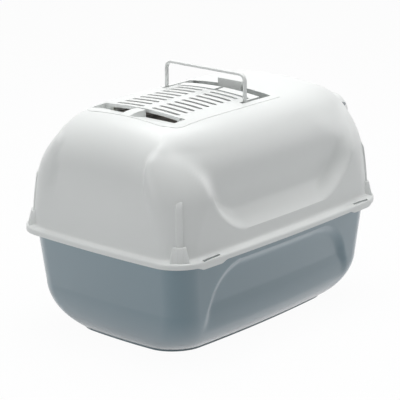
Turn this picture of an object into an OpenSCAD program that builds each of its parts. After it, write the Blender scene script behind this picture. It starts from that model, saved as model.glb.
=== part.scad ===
// Hooded litter box with a lift-off hood, a folding carrying handle,
// a slotted filter cover, a filter pad and a swing door.
// Millimetres. X is the width, Y the length, Z up, and the pan stands on z = 0.
// The door end is at -Y. The filter cover opens toward +Y.

/* [Body] */
// Width over the rim at mid length
body_w = 390; // [370:1:410]
// Length over the rim at mid width
body_l = 568; // [550:1:590]
// Height of the roof ridge
roof_z = 388; // [382:1:394]
// Height of the underside of the hood's rim
lip_z = 173; // [168:1:178]
// Outer radius of the rim's corners in plan
rim_r = 54; // [50:1:62]
// How far the long sides bow outward at mid length
bow_side = 9; // [5:1:12]
// How far the ends bow outward at mid width
bow_end = 7; // [4:1:10]
// Wall thickness of the hood and the pan
wall = 2.6; // [2.2:0.1:3]

/* [Rim] */
// Height of the hood's upright lip
lip_h = 9; // [8:1:11]
// Rise of the sloping flange from the lip to the hood's wall
flange_rise = 8; // [7:1:10]
// Width of the flange along the long sides
flange_side = 14; // [12:1:16]
// Width of the flange along the ends
flange_end = 11; // [10:1:14]
// Gap between the hood and the pan's rim
seat_gap = 0.4; // [0.3:0.1:0.6]

/* [Hood] */
// Width of the rounded shoulder along the long sides
shoulder_side = 82; // [70:1:90]
// Width of the rounded shoulder along the ends
shoulder_end = 36; // [30:1:44]
// Height of the rounded shoulder
shoulder_h = 110; // [102:1:116]
// Radius of the roof's crown across the width
crown_r = 720; // [640:10:900]
// Depth of the scooped panel in each long side
panel_depth = 24; // [18:1:28]
// Height of the scooped panel's lower edge
panel_z = 204; // [200:1:210]
// Half length of the scooped panel at its lower edge
panel_foot = 152; // [145:1:160]
// Radius of the scooped panel's lower corners
panel_corner = 60; // [50:1:66]
// Width of the sloping ledge round the scooped panel
panel_ledge = 36; // [30:1:42]
// Depth of the shallow panel in each end
end_depth = 5; // [3:1:7]
// Half width of the shallow end panel at the top
end_half = 108; // [100:1:120]
// Radius with which the end panels roll into the roof
end_round = 85; // [78:1:90]

// How much rounder the hood's corners grow toward the roof, across the width
grow_x = 30; // [22:1:36]
// How much rounder the hood's corners grow toward the roof, along the length
grow_y = 105; // [90:1:115]

/* [Pan] */
// How far the pan's wall stands in from the rim on the long sides
pan_side = 17; // [15:1:19]
// How far the pan's wall stands in from the rim on the ends
pan_end = 16; // [15:1:19]
// Taper of the pan's end walls from the rim to the bottom curve
pan_taper_end = 14; // [10:1:18]
// Taper of the pan's long walls from the rim to the bottom curve
pan_taper_side = 5; // [3:1:8]
// Width of the curve at the foot of the walls
pan_curve_w = 42; // [36:1:46]
// Height of the curve at the foot of the walls
pan_curve_h = 80; // [70:1:86]
// Depth of the arched panel in each long side of the pan
arch_depth = 7; // [4:1:9]
// Height of the arched panel's top edge
arch_z = 154; // [145:1:158]
// Half length of the arched panel
arch_half = 186; // [180:1:192]
// Radius of the arched panel's upper corners
arch_corner = 65; // [55:1:75]

/* [Filter cover] */
// Width of the filter cover
cover_w = 156; // [150:1:160]
// Length of the filter cover
cover_l = 174; // [170:1:180]
// Place of the cover's free edge along Y
cover_front = 155; // [150:1:160]
// Thickness of the cover
cover_t = 3; // [2.6:0.1:3.4]
// Running gap round the cover
cover_gap = 0.6; // [0.5:0.1:1]
// Number of slots in each column
slot_count = 9; // [7:1:9]
// Distance from slot to slot
slot_pitch = 18.5; // [17:0.5:19]
// Length of each slot
slot_len = 59; // [50:1:62]
// Width of each slot
slot_w = 7; // [5:0.5:9]
// Thickness of the filter pad
pad_t = 10; // [6:0.5:12]

/* [Handle] */
// Width of the handle over its legs
handle_w = 178; // [172:1:180]
// Height of the handle above its hinge axis
handle_h = 60; // [54:1:62]
// Thickness of the handle's strap
strap_t = 4.5; // [4:0.5:5]
// Width of the handle's strap
strap_w = 11; // [9:1:12]
// Radius of the handle's hinge pins
handle_pin_r = 3; // [2.6:0.1:3.2]

/* [Door] */
// Clear width of the door opening
door_w = 196; // [184:1:202]
// Clear height of the door opening
door_h = 138; // [130:1:142]
// Thickness of the door
door_t = 3.2; // [3:0.1:4]
// Gap round the door
door_gap = 2; // [1.5:0.1:2.5]
// Radius of the door's hinge pins
door_pin_r = 3; // [2.6:0.1:3.4]

/* [Hidden] */
half_w = body_w / 2;
half_l = body_l / 2;
arc_steps = 6;
side_steps = 24;
end_steps = 14;
shoulder_steps = 7;
pin_play = 0.06;

// Hood profile, all worked out from the driving sizes.
seat_z = lip_z + lip_h - 1;
wall_z = lip_z + lip_h + flange_rise;
hood_side = half_w - flange_side;
hood_end = half_l - flange_end;
shoulder_z = crown_z(hood_side - shoulder_side) - shoulder_h;

// Deck in the roof that carries the cover, the filter and the handle.
deck_half = 102;
deck_far = -78;
deck_near = 201;
deck_corner = 30;
deck_skin = 6.5;
deck_rise = 1;
deck_floor_z = roof_z - 30;
floor_t = 2.6;
cover_back = cover_front - cover_l;
cover_ledge = 8;
cover_axis_y = cover_back + 5;
cover_axis_z = crown_z(cover_w / 2) - 5;
cover_pin_r = 2.2;
cover_pin_l = 3.5;
cover_swing = norm([cover_axis_y - cover_back, roof_z - cover_axis_z]) + cover_gap;
slot_first = cover_front - 12;
slot_step = min(slot_pitch, (slot_first - cover_axis_y - 8) / (slot_count - 1));
spine_half = 9;
pad_half = cover_w / 2 - cover_ledge - 1;
pad_front = cover_front + 3;
pad_back = cover_back + 14;
tab_pad = 9;
pad_z = deck_floor_z + floor_t + pad_t;
scoop_in = 10;
scoop_out = 88;
scoop_len = 42;
scoop_drop = 12;
handle_y = -2;
handle_z = roof_z - 16;
handle_half = handle_w / 2;
trough_half = handle_half + 1;
trough_far = handle_y - handle_h - 6;
trough_near = handle_y + 10;
trough_z = handle_z - 8;
handle_pin_l = 6;

// Door frame in the front end.
door_z0 = wall_z + 15;
door_top = door_z0 + door_h;
frame_t = 6;
frame_front = -(hood_end + 3);
frame_back = -(hood_end - 37);
door_y = -(hood_end - 7);
door_axis_z = door_top - 9;
door_pin_l = 4.5;
door_r = 26;
door_r_top = 6;
door_rim = 8;

// Corner lugs and ribs that key into the hood stacked above.
lug_h = 28;
lug_top_w = 25;
lug_foot_w = 38;
lug_d = 13;
rib_w = 12;
rib_h = 105;
rib_top = wall_z + rib_h;

// Snap tabs in the long sides.
tab_y = 203;
tab_w = 50;
tab_foot = 78;
tab_drop = 9;
tab_slot_l = 42;
tab_slot_w = 2.5;

function crown_z(x) = roof_z - crown_r + sqrt(crown_r * crown_r - x * x);
function clamp01(v) = min(1, max(0, v));
function soft(v) = clamp01(v) * clamp01(v) * (3 - 2 * clamp01(v));

// A rounded rectangle of half sizes w and l, counter-clockwise. Its corners reach r across and q along.
function side_run(w, l, q, s) =
    [for (i = [0 : side_steps - 1]) [s * w, s * (l - q) * (2 * i / side_steps - 1)]];
function end_run(w, l, r, s) =
    [for (i = [0 : end_steps - 1]) [-s * (w - r) * (2 * i / end_steps - 1), s * l]];
function corner_run(w, l, r, q, sx, sy, start) =
    [for (i = [0 : arc_steps - 1])
        [sx * (w - r) + r * cos(start + 90 * i / arc_steps),
         sy * (l - q) + q * sin(start + 90 * i / arc_steps)]];
function outline(w, l, r, q) = [
    each side_run(w, l, q, 1),
    each corner_run(w, l, r, q, 1, 1, 0),
    each end_run(w, l, r, 1),
    each corner_run(w, l, r, q, -1, 1, 90),
    each side_run(w, l, q, -1),
    each corner_run(w, l, r, q, -1, -1, 180),
    each end_run(w, l, r, -1),
    each corner_run(w, l, r, q, 1, -1, 270)];
function bow(p, w, l) = [
    p[0] - bow_side * pow(p[1] / l, 2) * p[0] / w,
    p[1] - bow_end * pow(p[0] / w, 2) * p[1] / l];
function plain_ring(w, l, r, z) = [for (p = outline(w, l, r, r)) [each bow(p, w, l), z]];

// Depth inside a figure with a straight side, a level edge and a round corner between them.
function corner_depth(dx, dz, r) =
    min(dx, dz) <= 0 ? 0 : clamp01((r - norm([max(r - dx, 0), max(r - dz, 0)])) / r) * r;

// Scooped side panel of the hood: 0 outside it and 1 on its flat floor.
function panel_share(y, z) =
    let (reach = panel_foot + 0.5 * (z - panel_z))
    sin(90 * clamp01(corner_depth(reach - abs(y), z - panel_z, panel_corner) / panel_ledge));

// Panel of the hood's end wall, which leans in and rolls into the roof between the corner cheeks.
function end_reach(z) = end_half + 46 * pow(clamp01((roof_z - 40 - z) / 140), 1.6);
function end_share(x, z) =
    soft((end_reach(z) - abs(x)) / 12 + 0.5) * clamp01((z - wall_z - 2) / 12);
function end_face(x, z, t) =
    let (rise = clamp01((z - crown_z(x) + end_round) / (end_round - t)))
    hood_end - bow_end * pow(x / hood_side, 2) - end_depth - 0.02 * (z - wall_z) - t
        - (end_round - t) * (1 - sqrt(1 - rise * rise));

// One point of the hood's wall, moved in where a panel's surface lies deeper.
function press(q, z, t) =
    let (side = hood_side - bow_side * pow(q[1] / hood_end, 2) - t - panel_depth * panel_share(q[1], z))
    let (x = sign(q[0]) * min(abs(q[0]), side))
    let (over = max(0, abs(q[1]) - end_face(x, z, t)))
    [x, q[1] - sign(q[1]) * end_share(x, z) * over, z];
function growth(z) = pow((min(z, panel_z + 141) - wall_z) / 150, 1.8);
function corner_x(z, w) = min(rim_r - 8 + grow_x * growth(z), w - 4);
function corner_y(z) = rim_r - 8 + grow_y * growth(z);
function hood_ring(z, t) =
    let (w = hood_side - t)
    let (l = hood_end - t)
    [for (p = outline(w, l, corner_x(z, w), corner_y(z))) press(bow(p, w, l), z, t)];
function shoulder_ring(a, t) =
    let (in_w = shoulder_side * (1 - cos(a)))
    let (in_l = shoulder_end * (1 - cos(a)))
    let (w = hood_side - t - in_w)
    let (l = hood_end - t - in_l)
    let (level = shoulder_z + shoulder_h * sin(a))
    [for (p = outline(w, l, corner_x(level, w), corner_y(level)))
        let (q = bow(p, w, l))
        press(q, shoulder_z + (crown_z(q[0]) - t - shoulder_z) * sin(a), t)];
function roof_ring(s, t) = [for (p = shoulder_ring(90, t)) [p[0] * s, p[1] * s, crown_z(p[0] * s) - t]];
function hood_wall(t) = [
    for (z = [wall_z, panel_z - 2, for (i = [0 : 4]) panel_z + panel_ledge * pow(i / 4, 1.5)])
        hood_ring(z, t),
    hood_ring((panel_z + panel_ledge + shoulder_z) / 2, t),
    for (i = [0 : shoulder_steps]) shoulder_ring(90 * i / shoulder_steps, t),
    roof_ring(0.8, t)];
function inner_foot(t) = [
    plain_ring(half_w - t, half_l - t, rim_r - t, lip_z),
    plain_ring(half_w - t, half_l - t, rim_r - t, seat_z),
    plain_ring(hood_side - t, hood_end - t, rim_r - 8, seat_z)];
function outer_foot() = [
    plain_ring(half_w, half_l, rim_r, lip_z),
    plain_ring(half_w, half_l, rim_r, lip_z + lip_h - 1.5),
    plain_ring(half_w - 1.5, half_l - 1.5, rim_r - 1.5, lip_z + lip_h)];

// Arched panel in each long side of the pan.
function arch_share(y, z) =
    sin(90 * clamp01(corner_depth(arch_half - abs(y), arch_z - z, arch_corner) / 11));
function pan_ring(w, l, r, z, t) = [for (p = outline(w, l, r, r))
    let (q = bow(p, w, l))
    let (side = half_w - pan_side - bow_side * pow(q[1] / half_l, 2) - t)
    let (side_lim = side - (arch_depth + pan_taper_side) * arch_share(q[1], z))
    [sign(q[0]) * min(abs(q[0]), side_lim), q[1], z]];
function pan_at(z, t) =
    let (down = clamp01((rim_z - z) / (rim_z - pan_curve_h)))
    let (sink = clamp01((pan_curve_h - z) / (pan_curve_h - foot_h)))
    let (curve = pan_curve_w * (1 - sqrt(1 - sink * sink)))
    let (w = half_w - pan_side - pan_taper_side * down - curve - t)
    let (l = half_l - pan_end - pan_taper_end * down - 0.8 * curve - t)
    pan_ring(w, l, rim_r - 12 + pan_grow * sink, z, t);
pan_grow = 30;
foot_h = 5;
foot_in = 4;
rim_z = seat_z - seat_gap;
rim_t = 2.6;
rim_edge = wall + 0.8;
bottom_z = foot_h + wall;
arch_levels = [for (s = [-6, 0, 3, 8, 20, 40, arch_corner]) arch_z - s];
pan_levels = [1, 0.82, 0.6, 0.42, 0.27, 0.14, 0.05, 0];
function pan_z(s) = foot_h + (pan_curve_h - foot_h) * s;

// A shell between two stacks of rings, closed at its far end by a point each.
module shell(outer, inner, outer_tip, inner_tip, upward) {
    n = len(outer[0]);
    ko = len(outer);
    ki = len(inner);
    base = ko * n;
    tip = (ko + ki) * n;
    points = [for (ring = outer) each ring, for (ring = inner) each ring, outer_tip, inner_tip];
    faces = [
        for (k = [0 : ko - 2], i = [0 : n - 1])
            let (a = k * n + i, b = k * n + (i + 1) % n)
            each [[a, a + n, b + n], [a, b + n, b]],
        for (k = [0 : ki - 2], i = [0 : n - 1])
            let (a = base + k * n + i, b = base + k * n + (i + 1) % n)
            each [[a, b + n, a + n], [a, b, b + n]],
        for (i = [0 : n - 1])
            let (a = (ko - 1) * n + i, b = (ko - 1) * n + (i + 1) % n)
            [a, tip, b],
        for (i = [0 : n - 1])
            let (a = base + (ki - 1) * n + i, b = base + (ki - 1) * n + (i + 1) % n)
            [a, b, tip + 1],
        for (i = [0 : n - 1])
            let (j = (i + 1) % n)
            each [[i, j, base + j], [i, base + j, base + i]]];
    polyhedron(points = points, faces = upward ? faces : [for (f = faces) [f[2], f[1], f[0]]]);
}

module hood_shell() {
    shell(
        concat(outer_foot(), hood_wall(0)),
        concat(inner_foot(wall), hood_wall(wall)),
        [0, 0, roof_z], [0, 0, roof_z - wall], true);
}

// A solid under the deck's crown, lowered by drop. The deck stands a little proud of the roof.
module under_crown(drop) {
    translate([0, -half_l, roof_z - crown_r])
        rotate([-90, 0, 0])
            cylinder(r = crown_r + deck_rise - drop, h = body_l, $fn = 180);
}

// What lies under the roll of the end panels, raised by the deck's rise.
module under_end() {
    y = hood_end - end_depth - 4 - end_round;
    block(-half_w, half_w, -half_l, y, 0, roof_z + 5);
    translate([-half_w, y, roof_z - end_round])
        rotate([0, 90, 0])
            cylinder(r = end_round + deck_rise, h = body_w, $fn = 180);
}

// The deck's outline, drawn in by inset, as a column.
module deck_column(inset, z0, z1) {
    translate([0, 0, z0])
        linear_extrude(height = z1 - z0)
            union() {
                translate([-deck_half + inset, deck_far + inset])
                    square([2 * (deck_half - inset), deck_near - deck_far - deck_corner - inset]);
                translate([-deck_half + deck_corner, deck_far + inset])
                    square([2 * (deck_half - deck_corner), deck_near - deck_far - 2 * inset]);
                for (x = [-1, 1])
                    translate([x * (deck_half - deck_corner), deck_near - deck_corner])
                        circle(r = deck_corner - inset, $fn = 48);
            }
}

module block(x0, x1, y0, y1, z0, z1) {
    translate([x0, y0, z0])
        cube([x1 - x0, y1 - y0, z1 - z0]);
}

// A rectangle in the XZ plane with corner radii r at the foot and r_top above, pushed from y0 to y1.
module door_shape(w, z0, z1, r, r_top, y0, y1) {
    translate([0, y1, 0])
        rotate([90, 0, 0])
            linear_extrude(height = y1 - y0)
                union() {
                    translate([-w / 2 + r, z0])
                        square([w - 2 * r, z1 - z0]);
                    translate([-w / 2, z0 + r])
                        square([w, z1 - z0 - r - r_top]);
                    translate([-w / 2 + r_top, z1 - r_top - 1])
                        square([w - 2 * r_top, r_top + 1]);
                    for (x = [-1, 1]) {
                        translate([x * (w / 2 - r), z0 + r])
                            circle(r = r, $fn = 48);
                        translate([x * (w / 2 - r_top), z1 - r_top])
                            circle(r = r_top, $fn = 48);
                    }
                }
}

// The finger ramps that fall from the roof to the cover's free edge.
module scoop() {
    y0 = cover_front + cover_gap;
    translate([scoop_in, 0, 0])
        rotate([90, 0, 90])
            linear_extrude(height = scoop_out - scoop_in)
                polygon([[y0 - 4, roof_z + 5], [y0 - 4, pad_z], [y0 + 4, pad_z],
                    [y0 + 4, crown_z(scoop_in) - scoop_drop],
                    [y0 + scoop_len, crown_z(scoop_in)], [y0 + scoop_len + 10, roof_z + 5]]);
}

module deck() {
    difference() {
        intersection() {
            deck_column(0, deck_floor_z, roof_z + 1);
            under_crown(0);
            under_end();
        }
        difference() {
            block(-cover_w / 2 - cover_gap, cover_w / 2 + cover_gap,
                cover_axis_y - cover_swing, cover_front + cover_gap, deck_floor_z, roof_z + 2);
            under_crown(cover_t + cover_gap);
        }
        block(-cover_w / 2 - cover_gap, cover_w / 2 + cover_gap,
            cover_axis_y - cover_swing, cover_axis_y + 6, cover_axis_z - 6, roof_z + 2);
        block(-pad_half - 1, pad_half + 1, pad_back - 1, pad_front + 2,
            deck_floor_z + floor_t, roof_z + 2);
        scoop();
        mirror([1, 0, 0])
            scoop();
        for (s = [-1, 1])
            block(s > 0 ? handle_half - strap_t - 1.5 : -trough_half,
                s > 0 ? trough_half : -handle_half + strap_t + 1.5,
                trough_far, trough_near, trough_z, roof_z + 2);
        block(-trough_half, trough_half, trough_far, trough_far + 22, trough_z, roof_z + 2);
        block(-26, 26, trough_far - 10, trough_far + 1, trough_z + 6, roof_z + 2);
        intersection() {
            union() {
                for (s = [-1, 1])
                    block(s > 0 ? pad_half + 4 : -deck_half + 3,
                        s > 0 ? deck_half - 3 : -pad_half - 4,
                        trough_near + 4, deck_near - 18, deck_floor_z - 1, roof_z);
                block(-deck_half + 18, deck_half - 18, pad_front + 5, deck_near - 3,
                    deck_floor_z - 1, pad_z - 3);
            }
            under_crown(deck_skin + 9);
        }
        block(-handle_half + 12, handle_half - 12, trough_far + 25,
            cover_axis_y - cover_swing - 3,
            deck_floor_z - 1, roof_z - 7);
        for (x = [-3 : 3], y = [0 : 5])
            block(x * 18 - 6, x * 18 + 6, pad_back + 8 + y * 24, pad_back + 22 + y * 24,
                deck_floor_z - 1, deck_floor_z + floor_t + 1);
        translate([-handle_half - handle_pin_l - 0.3, handle_y, handle_z])
            rotate([0, 90, 0])
                cylinder(r = handle_pin_r + pin_play, h = handle_w + 2 * handle_pin_l + 0.6, $fn = 48);
        translate([-cover_w / 2 - cover_pin_l - 0.3, cover_axis_y, cover_axis_z])
            rotate([0, 90, 0])
                cylinder(r = cover_pin_r + pin_play, h = cover_w + 2 * cover_pin_l + 0.6, $fn = 48);
    }
}

module snap_tab(sx, sy) {
    x = half_w - bow_side * pow(tab_y / half_l, 2);
    translate([sx * (x - wall), sy * tab_y, 0])
        rotate([90, 0, sx * 90])
            linear_extrude(height = wall)
                polygon([[-tab_foot / 2, lip_z + 2], [tab_foot / 2, lip_z + 2],
                    [tab_w / 2, lip_z - tab_drop], [-tab_w / 2, lip_z - tab_drop]]);
}

module corner_lug(sx, sy) {
    cx = sx * (half_w - rim_r - bow_side);
    cy = sy * (half_l - rim_r - bow_end);
    translate([cx, cy, wall_z - 9])
        rotate([0, 0, atan2(sy, sx)])
            translate([rim_r - lug_d - 7, 0, 0])
                rotate([90, 0, 90])
                    difference() {
                        linear_extrude(height = lug_d)
                            polygon([[-lug_foot_w / 2, 0], [lug_foot_w / 2, 0],
                                [lug_top_w / 2, lug_h], [-lug_top_w / 2, lug_h]]);
                        translate([0, 0, lug_d - 4])
                            linear_extrude(height = 5)
                                polygon([[-lug_foot_w / 2 + 6, 7], [lug_foot_w / 2 - 6, 7],
                                    [lug_top_w / 2 - 3, lug_h - 3], [-lug_top_w / 2 + 3, lug_h - 3]]);
                    }
    translate([cx, cy, 0])
        rotate([0, 0, atan2(sy, sx)])
            rotate([90, 0, 0])
                translate([0, 0, -rib_w / 2])
                    linear_extrude(height = rib_w)
                        polygon([[rim_r - 24, wall_z], [rim_r - 8, wall_z], [rim_r - 11, rib_top - 12],
                            [rim_r - 15, rib_top - 2], [rim_r - 24, rib_top]]);
}

module hood() {
    color([0.93, 0.94, 0.94]) {
        difference() {
            hood_shell();
            deck_column(1, roof_z - 40, roof_z + 5);
            door_shape(door_w + frame_t, door_z0 - frame_t / 2, door_top + frame_t / 2, door_r + 3, door_r_top + 3,
                -half_l - 1, -half_l + 60);
            for (sx = [-1, 1], sy = [-1, 1])
                translate([sx * (half_w - bow_side * pow(tab_y / half_l, 2) - wall - 1.5),
                    sy * tab_y, lip_z + lip_h])
                    cube([tab_slot_w, tab_slot_l, 14], center = true);
        }
        deck();
        difference() {
            door_shape(door_w + 2 * frame_t, door_z0 - frame_t, door_top + frame_t, door_r + frame_t,
                door_r_top + frame_t, frame_front, frame_back);
            door_shape(door_w, door_z0, door_top, door_r, door_r_top, frame_front - 1, frame_back + 1);
            translate([-door_w / 2 - door_pin_l - 0.3, door_y, door_axis_z])
                rotate([0, 90, 0])
                    cylinder(r = door_pin_r + pin_play, h = door_w + 2 * door_pin_l + 0.6, $fn = 48);
        }
        for (sx = [-1, 1], sy = [-1, 1]) {
            snap_tab(sx, sy);
            corner_lug(sx, sy);
        }
    }
}

module tray() {
    color([0.5, 0.57, 0.62])
        shell(
            [plain_ring(half_w - rim_edge, half_l - rim_edge, rim_r - rim_edge, rim_z),
                plain_ring(half_w - rim_edge, half_l - rim_edge, rim_r - rim_edge, rim_z - rim_t),
                plain_ring(half_w - pan_side, half_l - pan_end, rim_r - 12, rim_z - rim_t - 1),
                for (z = arch_levels) pan_at(z, 0),
                for (s = pan_levels) pan_at(pan_z(s), 0),
                pan_ring(half_w - pan_side - pan_taper_side - pan_curve_w - foot_in,
                    half_l - pan_end - pan_taper_end - 0.8 * pan_curve_w - foot_in,
                    rim_r - 14 + pan_grow, foot_h, 0),
                pan_ring(half_w - pan_side - pan_taper_side - pan_curve_w - foot_in,
                    half_l - pan_end - pan_taper_end - 0.8 * pan_curve_w - foot_in,
                    rim_r - 14 + pan_grow, 0, 0)],
            [plain_ring(half_w - pan_side - wall, half_l - pan_end - wall, rim_r - 12, rim_z),
                for (z = arch_levels) pan_at(z, wall),
                for (s = [1, 0.82, 0.6, 0.42, 0.27, 0.14]) pan_at(pan_z(s), wall),
                pan_ring(half_w - pan_side - pan_taper_side - pan_curve_w - wall,
                    half_l - pan_end - pan_taper_end - 0.8 * pan_curve_w - wall,
                    rim_r - 14 + pan_grow, bottom_z, wall)],
            [0, 0, 0], [0, 0, bottom_z], false);
}

module handle() {
    r_out = 14;
    z_top = handle_z + handle_h;
    color([0.95, 0.95, 0.95]) {
        translate([0, handle_y + strap_w / 2, 0])
            rotate([90, 0, 0])
                linear_extrude(height = strap_w)
                    difference() {
                        union() {
                            translate([-handle_half, handle_z])
                                square([handle_w, handle_h - r_out]);
                            translate([-handle_half + r_out, handle_z])
                                square([handle_w - 2 * r_out, handle_h]);
                            for (s = [-1, 1])
                                translate([s * (handle_half - r_out), z_top - r_out])
                                    circle(r = r_out, $fn = 48);
                        }
                        translate([-handle_half + strap_t, handle_z - 1])
                            square([handle_w - 2 * strap_t, handle_h - r_out + 1]);
                        translate([-handle_half + r_out, handle_z - 1])
                            square([handle_w - 2 * r_out, handle_h + 1 - strap_t]);
                        for (s = [-1, 1])
                            translate([s * (handle_half - r_out), z_top - r_out])
                                circle(r = r_out - strap_t, $fn = 48);
                    }
        for (s = [-1, 1])
            translate([s > 0 ? handle_half - strap_t : -handle_half, handle_y, handle_z])
                rotate([0, 90, 0])
                    cylinder(r = strap_w / 2, h = strap_t, $fn = 48);
        for (s = [-1, 1])
            translate([s > 0 ? handle_half - 1 : -handle_half - handle_pin_l, handle_y, handle_z])
                rotate([0, 90, 0])
                    cylinder(r = handle_pin_r, h = handle_pin_l + 1, $fn = 48);
    }
}

module filter_cover() {
    color([0.96, 0.96, 0.96]) {
        difference() {
            intersection() {
                block(-cover_w / 2, cover_w / 2, cover_back, cover_front, deck_floor_z, roof_z + 1);
                under_crown(0);
            }
            difference() {
                block(-cover_w / 2 - 1, cover_w / 2 + 1, cover_back - 1, cover_front - 2.5,
                    deck_floor_z - 1, roof_z + 2);
                difference() {
                    block(-cover_w / 2 - 2, cover_w / 2 + 2, cover_back - 2, cover_front + 2,
                        deck_floor_z - 2, roof_z + 3);
                    under_crown(cover_t);
                }
            }
            under_crown(cover_t + 3);
            for (s = [0, 1], i = [0 : slot_count - 1])
                mirror([s, 0, 0])
                    block(spine_half, spine_half + slot_len,
                        slot_first - i * slot_step - slot_w / 2,
                        slot_first - i * slot_step + slot_w / 2, roof_z - 30, roof_z + 2);
        }
        for (s = [0, 1])
            mirror([s, 0, 0]) {
                block(cover_w / 2 - 4, cover_w / 2, cover_axis_y - 3.4, cover_axis_y + 3.4,
                    cover_axis_z - 3, crown_z(cover_w / 2) - 1);
                translate([cover_w / 2 - 1, cover_axis_y, cover_axis_z])
                    rotate([0, 90, 0])
                        cylinder(r = cover_pin_r, h = cover_pin_l + 1, $fn = 48);
            }
    }
}

module filter_pad() {
    color([0.13, 0.12, 0.11])
        block(-pad_half, pad_half, pad_back, pad_front, deck_floor_z + floor_t, pad_z);
}

module filter_tab() {
    color([0.6, 0.65, 0.3])
        block(pad_half - tab_pad - 1, pad_half - 1, pad_front - tab_pad, pad_front, pad_z, pad_z + 1);
}

module door() {
    w = door_w - 2 * door_gap;
    z0 = door_z0 + door_gap;
    z1 = door_top - door_gap;
    r = door_r - door_gap;
    r_top = door_r_top - door_gap;
    y0 = door_y - door_t / 2;
    y1 = door_y + door_t / 2;
    color([0.62, 0.66, 0.69]) {
        difference() {
            door_shape(w, z0, z1, r, r_top, y0 - 1, y1 + 1);
            door_shape(w - 2 * door_rim, z0 + door_rim, z1 - 2 * door_rim, r - door_rim, r_top,
                y0 - 2, y0);
            door_shape(w - 2 * door_rim, z0 + door_rim, z1 - 2 * door_rim, r - door_rim, r_top,
                y1, y1 + 2);
        }
        for (s = [0, 1])
            mirror([s, 0, 0])
                translate([w / 2 - 16, door_y, door_axis_z])
                    rotate([0, 90, 0])
                        cylinder(r = door_pin_r, h = 16 + door_gap + door_pin_l, $fn = 48);
    }
}

tray();
hood();
handle();
filter_cover();
filter_pad();
filter_tab();
door();
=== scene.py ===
# %% [markdown]
# # A hooded litter box
# The box is two big plastic mouldings, a blue-grey pan and a white hood, with a handle, a slotted
# filter cover, a filter pad and a swing door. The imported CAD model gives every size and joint.
# Here each piece gets its finished surface, and it rides on the body that carries it.

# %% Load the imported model
import math
import bpy
from mathutils import Matrix, Vector


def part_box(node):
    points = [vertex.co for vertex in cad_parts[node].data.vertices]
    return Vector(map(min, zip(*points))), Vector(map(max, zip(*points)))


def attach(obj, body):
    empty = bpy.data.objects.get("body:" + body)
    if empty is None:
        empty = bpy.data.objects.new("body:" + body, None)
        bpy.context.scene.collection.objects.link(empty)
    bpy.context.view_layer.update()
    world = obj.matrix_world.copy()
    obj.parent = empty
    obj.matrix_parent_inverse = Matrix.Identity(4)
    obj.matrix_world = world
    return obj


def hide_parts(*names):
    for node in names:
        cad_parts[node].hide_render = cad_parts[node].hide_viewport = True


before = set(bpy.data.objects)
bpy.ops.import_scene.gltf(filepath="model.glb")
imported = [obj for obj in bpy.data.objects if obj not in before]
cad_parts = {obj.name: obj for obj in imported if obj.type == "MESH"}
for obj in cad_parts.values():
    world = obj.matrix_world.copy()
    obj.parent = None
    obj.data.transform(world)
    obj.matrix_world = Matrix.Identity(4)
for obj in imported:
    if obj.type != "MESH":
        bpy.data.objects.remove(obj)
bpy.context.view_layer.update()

MM = 0.001
hood_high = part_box("hood")[1]

# %% [markdown]
# ## The camera first
# The photo was taken with a long lens from above one corner of the closed end. The view was worked out
# from the rim, the slots and the handle. Everything else is judged through this camera.

# %% Camera
VIEW_AZIMUTH = math.radians(220.28)
VIEW_ELEVATION = math.radians(16.66)
VIEW_DISTANCE = 3.2
VIEW_AIM = Vector((0, 0, 0.17))
VIEW_RIGHT = -0.0075
VIEW_UP = 0.0249
LENS_PIXELS = 1843.5
FRAME_PIXELS = 400


def make_camera():
    back = Vector((
        math.sin(VIEW_AZIMUTH) * math.cos(VIEW_ELEVATION),
        -math.cos(VIEW_AZIMUTH) * math.cos(VIEW_ELEVATION),
        math.sin(VIEW_ELEVATION)))
    right = Vector((math.cos(VIEW_AZIMUTH), math.sin(VIEW_AZIMUTH), 0))
    up = back.cross(right)
    data = bpy.data.cameras.new("photo_camera")
    camera = bpy.data.objects.new("photo_camera", data)
    bpy.context.collection.objects.link(camera)
    place = VIEW_AIM + back * VIEW_DISTANCE + right * VIEW_RIGHT + up * VIEW_UP
    turn = Matrix((right, up, back)).transposed().to_4x4()
    camera.matrix_world = Matrix.Translation(place) @ turn
    data.sensor_width = 36
    data.lens = LENS_PIXELS / FRAME_PIXELS * data.sensor_width
    data.clip_end = 50
    bpy.context.scene.camera = camera
    return camera


camera = make_camera()
print("Camera at", [round(v, 3) for v in camera.location])

# %% [markdown]
# ## Small helpers
# Operators act on what is selected, so each helper starts by clearing the selection. A new piece ends
# at the origin with its place in its mesh, and rides on a body of the frame.

# %% Selection and finishing helpers
def deselect():
    if bpy.context.object and bpy.context.object.mode != "OBJECT":
        bpy.ops.object.mode_set(mode="OBJECT")
    bpy.ops.object.select_all(action="DESELECT")


def choose(piece):
    deselect()
    bpy.context.view_layer.objects.active = piece
    piece.select_set(True)


def settle(piece):
    """Puts a piece's place into its mesh, so that its object sits at the origin."""
    choose(piece)
    bpy.ops.object.transform_apply(location=True, rotation=True, scale=True)


def select_edges_only(piece):
    """Goes into edit mode with just the edges that are marked as selected."""
    marked = [edge.index for edge in piece.data.edges if edge.select]
    choose(piece)
    bpy.ops.object.mode_set(mode="EDIT")
    bpy.ops.mesh.select_mode(type="EDGE")
    bpy.ops.mesh.select_all(action="DESELECT")
    bpy.ops.object.mode_set(mode="OBJECT")
    for index in marked:
        piece.data.edges[index].select = True
    bpy.ops.object.mode_set(mode="EDIT")


def point_outwards(piece):
    choose(piece)
    bpy.ops.object.mode_set(mode="EDIT")
    bpy.ops.mesh.select_all(action="SELECT")
    bpy.ops.mesh.remove_doubles(threshold=0.00001)
    bpy.ops.mesh.normals_make_consistent(inside=False)
    bpy.ops.object.mode_set(mode="OBJECT")


def apply_modifier(piece, kind, **settings):
    modifier = piece.modifiers.new(kind.lower(), kind)
    for key, value in settings.items():
        setattr(modifier, key, value)
    choose(piece)
    bpy.ops.object.modifier_apply(modifier=modifier.name)


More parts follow.
